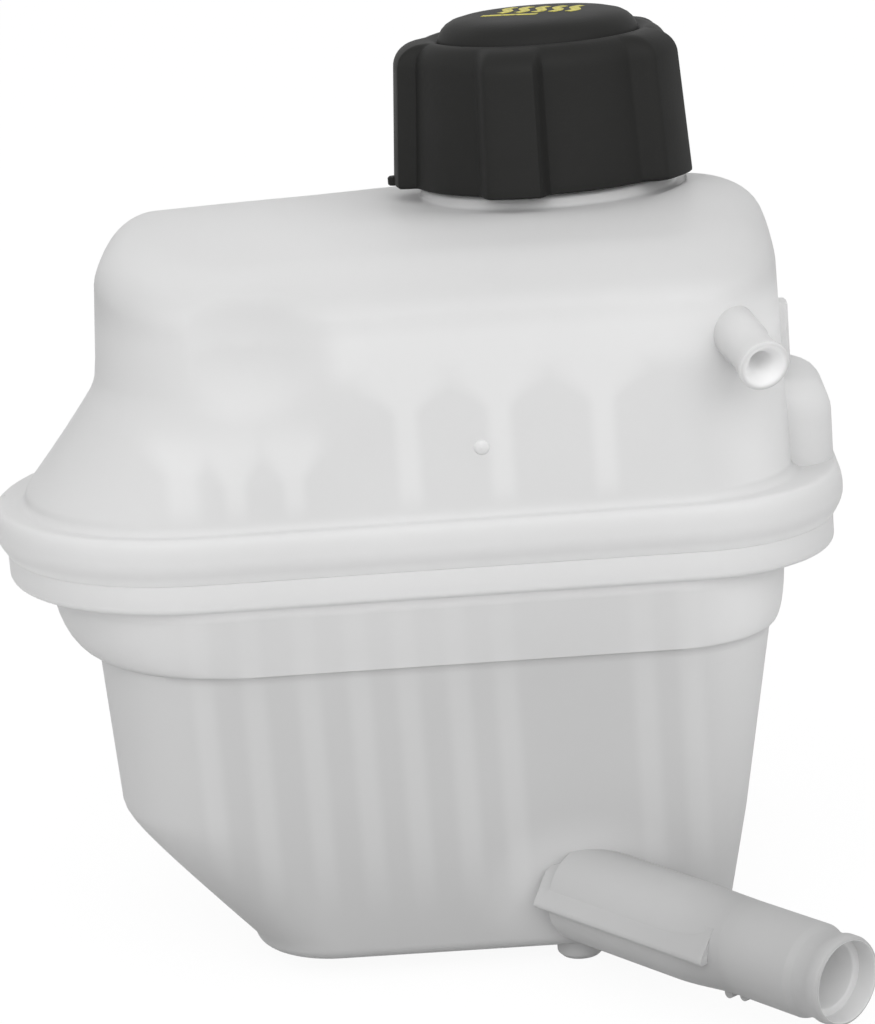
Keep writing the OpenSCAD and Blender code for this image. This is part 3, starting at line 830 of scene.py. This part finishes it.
def lower_rings():
    """The whole lower moulding, from the middle of the base out, up and back down inside."""
    rings = [base_ring(a, 0) for a in along(90, 0, 8)]
    rings += [level(lower_inset(z), z) for z in along(BASE_ROUND, WELD - COLLAR_H - 0.5, 40)[1:]]
    rings += [collar_ring(t, 0) for t in COLLAR_STEPS]
    under = WELD - LIP_H
    rings.append(level([max(1.9, v - 0.25) for v in COLLAR_TOP], under - 0.25))
    rings.append(level([max(1.85, v - 0.9) for v in COLLAR_TOP], under))
    for a in along(90, 0, 6):
        into, up = arc(a)
        rings.append(level(even(LIP_ROUND * into), under + LIP_ROUND * (1 - up)))
    rings += [level(even(0), WELD - 0.5), level(even(0.2), WELD - 0.05)]
    land = [max(LAND, v + WALL) for v in COLLAR_TOP]
    rings += [level(land, WELD - 0.05), level(land, WELD - 3)]
    rings += [collar_ring(t, WALL + 0.4) for t in (0, 0.6, 0.97)]
    rings += [level(grown(lower_inset(z), WALL), z) for z in (67, 50, SLOPE_H, 24, 16, 9)]
    rings += [base_ring(a, WALL) for a in (0, 45, 90)]
    return rings


def outlet(shape):
    """The hose outlet, which leaves the front wall low down and points to the front right. It has
    a thicker root, a long plain seat for the hose, and a stepped nose with a wide mouth."""
    place = OUTLET_TURN
    r = OUTLET_R
    end = OUTLET_L
    tube = [(r, -6), (r, SEAT_END - 0.4), (r - 0.15, SEAT_END), (r - 0.75, SEAT_END + 1.1)]
    groove = [(r - 0.9, SEAT_END + 1.5), (r - 0.9, end - 4.4), (r - 0.7, end - 3.4)]
    nose = [(r - 0.5, end - 2.8), (r - 0.5, end - 0.9), (r - 0.75, end - 0.25), (r - 1.2, end)]
    mouth = [(r - 1.35, end), (r - 1.5, end - 0.4), (r - 1.6, end - 4.4)]
    bore = [(OUTLET_BORE_R + 0.3, end - 4.6), (OUTLET_BORE_R, end - 5), (OUTLET_BORE_R, -4)]
    shape.turn(tube + groove + nose + mouth + bore, place)
    root = []
    for t in ROOT_SHARES:
        fade = rising(0, 1, t)
        thick = r + ROOT_EXTRA - (ROOT_EXTRA + ROOT_SUNK) * fade
        z = ROOT_START + (ROOT_L - ROOT_START) * t
        ring = []
        for a in full_turn(96):
            y = thick * math.sin(a) - ROOT_LOW * (1 - fade)
            ring.append(place @ Vector((thick * math.cos(a), y, z)))
        root.append(ring)
    shape.loft(root)
    # Two nibs under the root's end
    for z, out in ((ROOT_L - 7.6, 1.5), (ROOT_L - 3.2, 0.9)):
        nib = [(-r - out + NIB_R * math.sin(a), z + NIB_R * math.cos(a)) for a in full_turn(12)]
        shape.loft([[place @ Vector((x, y, v)) for y, v in nib] for x in (-NIB_HALF, NIB_HALF)])
    # The flat web along the left of the root
    edge = -r - 2.2
    web = [(0, -1), (edge + 0.3, -1), (edge, -0.7), (edge, -0.1), (edge + 0.3, 0.4)]
    web += [(-0.8 * r, 0.62 * r), (0, 0.9 * r)]
    shape.extrude(web, WEB_START, WEB_END, place)


def locating_peg(shape):
    """The round peg under the front edge, with a chamfer at its tip."""
    profile = [(0.1, 0), (4, 0), (4.3, 0.1), (5.1, 0.9), (5.2, 1.2), (5.2, 6), (0.1, 6)]
    shape.turn(profile, Matrix.Translation((0, 0, -PEG_L)), 64)


def bolt_ear(shape):
    """The lug at the back, level with the lip, with its bolt hole."""
    low = WELD - LIP_H
    # Share is 1 on the ear's outer edge and 0 in its hole, and extra is added to the radius.
    hole_low = [(0, EAR_HOLE_R, low + 0.3), (0, EAR_HOLE_R + 0.3, low)]
    rim = [(1, -BREAK, low), (1, 0, low + BREAK), (1, 0, WELD - BREAK), (1, -BREAK, WELD)]
    hole_high = [(0, EAR_HOLE_R + 0.3, WELD), (0, EAR_HOLE_R, WELD - 0.3)]
    rings = []
    for share, extra, z in hole_low + rim + hole_high:
        ring = []
        for a in full_turn(72):
            c, s = math.cos(a), math.sin(a)
            side = EAR_R / max(0.01, abs(c))
            end = math.sqrt(EAR_R**2 - (EAR_SET_IN * c) ** 2)
            far = -EAR_SET_IN * s + end if s >= 0 else EAR_ROOT / -s
            r = share * min(side, far) + extra
            ring.append((EAR_X + r * c, EAR_Y + r * s, z))
        rings.append(ring)
    shape.loft(rings, closed=True)


def lower_skin():
    shape = Shape()
    shape.loft(lower_rings())
    thickness_and_painted_light = [lower_thickness_and_painted_light(p) for p in shape.points]
    outlet(shape)
    thickness_and_painted_light += [outlet_thickness_and_painted_light(p) for p in shape.points[len(thickness_and_painted_light) :]]
    locating_peg(shape)
    bolt_ear(shape)
    thickness_and_painted_light += [FITTING_TONE] * (len(shape.points) - len(thickness_and_painted_light))
    piece = new_piece("lower_skin", shape, milky, "tank", thickness_and_painted_light, SOFT_EDGE)
    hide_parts("bottom_shell")


# Cap
CAP_Z = RING_Z + 0.8
CAP_R, CAP_H, CAP_DRAFT = 30.8, 31.8, 4
CAP_TOP = CAP_Z + CAP_H
CAP_ROUND_UP, CAP_ROUND_IN = 5.6, 4.6
# The rounded hem, as (inset, height over the cap's foot)
CAP_HEM = ((1.4, 0), (0.5, 0), (0.1, 0.35))
CEILING = CAP_TOP - 2.6
FLANGE_TOP = RIM_Z + 3.9
# Radii inside the cap: the collar that holds the cartridge, the bore, and the lip in the bore.
COLLAR_IN_R, COLLAR_OUT_R, CAP_BORE_R, CAP_LIP_R = 21, 23.5, 26, 25.2
CAP_LIP_LOW, CAP_LIP_HIGH = RIM_Z + 0.3, RIM_Z + 1.2
# The grips, each with a soft left flank and a steep right one, in degrees from its middle. The
# solid cap under this skin has six.
GRIPS, GRIP_AT, GRIP_OUT = 5, 103.4, 3.7
LEFT_FLANK, RIGHT_FLANK = (-17, -8), (10, 14.5)
# The raised disc's soft dome, as (radius, height over the cap's top) from its edge inwards.
DISC = (
    (22.5, -0.9),
    (22.4, -0.3),
    (22, 0.8),
    (21.4, 1.8),
    (20.5, 2.7),
    (19.2, 3.45),
    (17.2, 3.95),
    (14.5, 4.2),
    (10, 4.35),
    (5, 4.4),
    (0.4, 4.4),
)


def grip(angle):
    """How far a grip stands out at an angle round the cap, from 0 to 1."""
    pitch = 360 / GRIPS
    b = (angle + GRIP_AT + pitch / 2) % pitch - pitch / 2
    return rising(*LEFT_FLANK, b) * (1 - rising(*RIGHT_FLANK, b))


def cap_ring(radius, share, z, steps=360):
    """A ring of the cap, on which the grips stand out by a share of their full depth."""
    ring = []
    for i in range(steps):
        r = radius + GRIP_OUT * share * grip(360 * i / steps)
        ring.append(by_neck(r, 2 * math.pi * i / steps, z))
    return ring


def cap_skin():
    """The whole cap in one run of rings: hem, grips, round, disc, and down inside."""
    draft = slant(CAP_DRAFT)
    round_z = CAP_TOP - CAP_ROUND_UP
    rings = [cap_ring(CAP_R - inset, 1, CAP_Z + h) for inset, h in CAP_HEM]
    for z in along(CAP_Z + 0.8, round_z, 14):
        rings.append(cap_ring(CAP_R - (z - CAP_Z) * draft, 1, z))
    top_r = CAP_R - (round_z - CAP_Z) * draft
    for a in along(0, 90, 10)[1:]:
        into, up = arc(a)
        share = max(0, 1 - into) ** 0.5
        z = round_z + CAP_ROUND_UP * up
        rings.append(cap_ring(top_r - CAP_ROUND_IN * into, share, z))
    rings += [cap_ring(r, 0, CAP_TOP + h) for r, h in DISC]
    for r, z in (
        (DISC[-1][0], CEILING),
        (COLLAR_IN_R, CEILING),
        (COLLAR_IN_R, FLANGE_TOP),
        (COLLAR_OUT_R, FLANGE_TOP),
        (COLLAR_OUT_R, CEILING),
        (CAP_BORE_R, CEILING),
        (CAP_BORE_R, CAP_LIP_HIGH),
        (CAP_LIP_R, CAP_LIP_HIGH),
        (CAP_LIP_R, CAP_LIP_LOW),
        (CAP_R - 4.2, CAP_LIP_LOW),
        (CAP_R - 3.2, CAP_Z + 0.4),
        (CAP_R - 3, CAP_Z),
    ):
        rings.append(cap_ring(r, 0, z))
    shape = Shape()
    shape.loft(rings, closed=True)
    nub = Matrix.Translation((NECK_X - CAP_R - GRIP_OUT + 0.3, NECK_Y - 2, CAP_Z))
    shape.turn([(0.05, 0), (1.3, 0), (1.6, 0.3), (1.6, 1.7), (1.3, 2), (0.05, 2)], nub, 24)
    piece = new_piece("cap_skin", shape, cap_black, "cap", (), CAP_EDGE)
    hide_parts("cap_shell")


def disc_z(radius):
    """The height of the disc's dome at a radius."""
    for (outer, low), (inner, high) in zip(DISC, DISC[1:]):
        if radius >= inner:
            return CAP_TOP + low + (high - low) * (outer - radius) / (outer - inner)
    return CAP_TOP + DISC[-1][1]


# How far the ink stands over the disc, and how far it is sunk in it
INK_UP, INK_DOWN = 0.08, -0.1
MARK_TURN, WAVE_W, BAR_W = -20, 2.1, 1.6


def stroke(shape, path, width):
    """A flat ribbon of ink along a path on the disc."""
    rings = []
    for i, (x, y) in enumerate(path):
        x0, y0 = path[max(0, i - 1)]
        x1, y1 = path[min(len(path) - 1, i + 1)]
        half = width / 2 / math.hypot(x1 - x0, y1 - y0)
        ring = []
        for side, lift in ((1, INK_UP), (-1, INK_UP), (-1, INK_DOWN), (1, INK_DOWN)):
            px = x - side * half * (y1 - y0)
            py = y + side * half * (x1 - x0)
            ring.append((NECK_X + px, NECK_Y + py, disc_z(math.hypot(px, py)) + lift))
        rings.append(ring)
    shape.loft(rings)


def cap_mark():
    """A plain mark where such caps have a symbol: five short waves over a bar."""
    shape = Shape()
    turn = Matrix.Rotation(math.radians(MARK_TURN), 2)
    for middle in (-8, -4, 0, 4, 8):
        wave = [(middle + math.sin(2 * math.pi * t), -1.5 + 10 * t) for t in along(0, 1, 20)]
        stroke(shape, [turn @ Vector(p) for p in wave], WAVE_W)
    bar = [(u, -5) for u in along(-11, 2, 24)]
    stroke(shape, [turn @ Vector(p) for p in bar], BAR_W)
    new_piece("cap_mark", shape, ink, "cap")


# Threads and springs
PITCH = 4
TURN_STEPS, RUN_OUT_STEPS = 72, 12
COIL_STEPS, WIRE_STEPS = 36, 10


def thread(name, root, crest, low, turns, material, body):
    """One start of a moulded buttress thread, a ridge that runs out at both ends."""
    steps = int(turns * TURN_STEPS)
    rings = []
    for i in range(steps + 1):
        a = 2 * math.pi * i / TURN_STEPS
        z = low + PITCH * i / TURN_STEPS
        full = max(0.02, min(1, i / RUN_OUT_STEPS, (steps - i) / RUN_OUT_STEPS))
        top = root + (crest - root) * full
        profile = ((root, -1.1), (top, -0.5), (top, 0.3), (root, 0.8))
        rings.append([by_neck(radius, a, z + rise) for radius, rise in profile])
    shape = Shape()
    shape.loft(rings)
    new_piece(name, shape, material, body)


def coil_spring(node, wire, turns):
    """A round wire wound into a compression spring, which fills the box of the solid it stands in for."""
    low, high = [Vector(v) * MM_PER_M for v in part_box(node)]
    middle = (low + high) / 2
    radius = (high.x - low.x) / 2 - wire
    steps = turns * COIL_STEPS
    rings = []
    for i in range(steps + 1):
        a = 2 * math.pi * i / COIL_STEPS
        height = low.z + wire + (high.z - low.z - 2 * wire) * i / steps
        ring = []
        for b in full_turn(WIRE_STEPS):
            r = radius + wire * math.cos(b)
            x = middle.x + r * math.cos(a)
            y = middle.y + r * math.sin(a)
            ring.append((x, y, height + wire * math.sin(b)))
        rings.append(ring)
    shape = Shape()
    shape.loft(rings)
    spring = new_piece(node + "_wire", shape, steel, None)
    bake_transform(spring)
    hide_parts(node)


upper_skin()
lower_skin()
cap_skin()
cap_mark()
coil_spring("pressure_spring", wire=0.8, turns=6)
coil_spring("vacuum_spring", wire=0.35, turns=4)
thread(
    "neck_thread",
    root=NECK_R - 0.1,
    crest=25.6,
    low=RING_Z + 6,
    turns=3.2,
    material=milky,
    body="tank",
)
thread(
    "cap_thread",
    root=27.1,
    crest=25.9,
    low=RING_Z + 8,
    turns=2.6,
    material=cap_black,
    body="cap",
)


# Solids whose shape is right as it is
JOIN_DISTANCE = 0.00001
REAL_EDGE = 29


def smooth_skin():
    """A node group that joins a solid's triangles and shades them smooth, but for real edges."""
    tree = bpy.data.node_groups.new("smooth_skin", "GeometryNodeTree")
    tree.interface.new_socket("Geometry", in_out="INPUT", socket_type="NodeSocketGeometry")
    tree.interface.new_socket("Geometry", in_out="OUTPUT", socket_type="NodeSocketGeometry")
    start = add(tree, "NodeGroupInput")
    bare = add(
        tree,
        "GeometryNodeRemoveAttribute",
        {"Geometry": start.outputs[0], "Name": "custom_normal"},
    )
    joined = add(
        tree,
        "GeometryNodeMergeByDistance",
        {"Geometry": bare.outputs[0], "Distance": JOIN_DISTANCE},
    )
    smooth = add(tree, "GeometryNodeSetShadeSmooth", {"Geometry": joined.outputs[0]})
    angle = add(tree, "GeometryNodeInputMeshEdgeAngle").outputs["Unsigned Angle"]
    sharp = add(tree, "ShaderNodeMath", (angle, math.radians(REAL_EDGE)), operation="GREATER_THAN")
    edges = add(
        tree,
        "GeometryNodeSetShadeSmooth",
        {
            "Geometry": smooth.outputs[0],
            "Selection": sharp.outputs[0],
            "Shade Smooth": False,
        },
        domain="EDGE",
    )
    add(tree, "NodeGroupOutput", (edges.outputs[0],))
    return tree


smoothing = smooth_skin()
FINISHES = {
    "valve_housing": valve_grey,
    "housing_lid": valve_grey,
    "pressure_valve": valve_grey,
    "vacuum_valve": valve_grey,
    "neck_gasket": rubber,
    "neck_o_ring": rubber,
    "pressure_seal": rubber,
}
for node_name, finish in FINISHES.items():
    solid = nodes[node_name]
    solid.data.materials.clear()
    solid.data.materials.append(finish)
    solid.modifiers.new("smooth_skin", "NODES").node_group = smoothing


# Floor, background and lamp
FLOOR_LEFT, FLOOR_RIGHT, FLOOR_FRONT, FLOOR_BACK = -3, 3, -2, 5
FLOOR_WHITE = 0.93
FILL = 1.05


def seen(tree):
    """1 for a camera ray, and for one that a shiny or clear surface sends on, otherwise 0."""
    ray = add(tree, "ShaderNodeLightPath").outputs
    shine = add(
        tree,
        "ShaderNodeMath",
        (ray["Is Glossy Ray"], ray["Is Transmission Ray"]),
        operation="MAXIMUM",
    )
    return add(
        tree, "ShaderNodeMath", (ray["Is Camera Ray"], shine.outputs[0]), operation="MAXIMUM"
    ).outputs[0]


def pale_floor():
    """A wide matt floor. The camera sees it nearly white, with the tank's soft shadow left in."""
    mesh = bpy.data.meshes.new("floor")
    low = cad_box[0][2]
    front = [(FLOOR_LEFT, FLOOR_FRONT, low), (FLOOR_RIGHT, FLOOR_FRONT, low)]
    back = [(FLOOR_RIGHT, FLOOR_BACK, low), (FLOOR_LEFT, FLOOR_BACK, low)]
    mesh.from_pydata(front + back, [], [(0, 1, 2, 3)])
    floor = bpy.data.objects.new("floor", mesh)
    bpy.context.scene.collection.objects.link(floor)
    material, tree = new_material("matt_paper")
    grey = add(tree, "ShaderNodeBsdfDiffuse", {"Color": srgb("#bcbcbc")})
    paper = add(tree, "ShaderNodeBsdfDiffuse", {"Color": srgb("#fafafa")})
    white = add(tree, "ShaderNodeEmission", {"Color": (1, 1, 1, 1), "Strength": 1.0})
    bright = add(tree, "ShaderNodeMixShader", (FLOOR_WHITE, paper.outputs[0], white.outputs[0]))
    mix = add(tree, "ShaderNodeMixShader", (seen(tree), grey.outputs[0], bright.outputs[0]))
    add(tree, "ShaderNodeOutputMaterial", (mix.outputs[0],))
    floor.data.materials.append(material)


def studio_world():
    """Plain light from all round, and white where the camera or a shine looks past the floor."""
    world = bpy.data.worlds.new("studio")
    bpy.context.scene.world = world
    world.use_nodes = True
    tree = world.node_tree
    tree.nodes.clear()
    fill = add(tree, "ShaderNodeBackground", {"Color": (1, 1, 1, 1), "Strength": FILL})
    white = add(tree, "ShaderNodeBackground", {"Color": (1, 1, 1, 1), "Strength": 1.0})
    mix = add(tree, "ShaderNodeMixShader", (seen(tree), fill.outputs[0], white.outputs[0]))
    add(tree, "ShaderNodeOutputWorld", (mix.outputs[0],))


def softbox(name, place, target, width, height, power):
    """A large soft lamp that looks at a point of the tank."""
    data = bpy.data.lights.new(name, "AREA")
    data.shape = "RECTANGLE"
    data.size = width
    data.size_y = height
    data.energy = power
    lamp = bpy.data.objects.new(name, data)
    bpy.context.scene.collection.objects.link(lamp)
    lamp.location = place
    lamp.rotation_euler = (Vector(target) - Vector(place)).to_track_quat("-Z", "Y").to_euler()


pale_floor()
studio_world()
lamp_place = (0.0, -1.0, 0.75)
tank_middle = (-0.03, 0.03, 0.12)
softbox("front", lamp_place, tank_middle, width=2.6, height=0.7, power=13)

bpy.context.scene.view_settings.view_transform = "Standard"
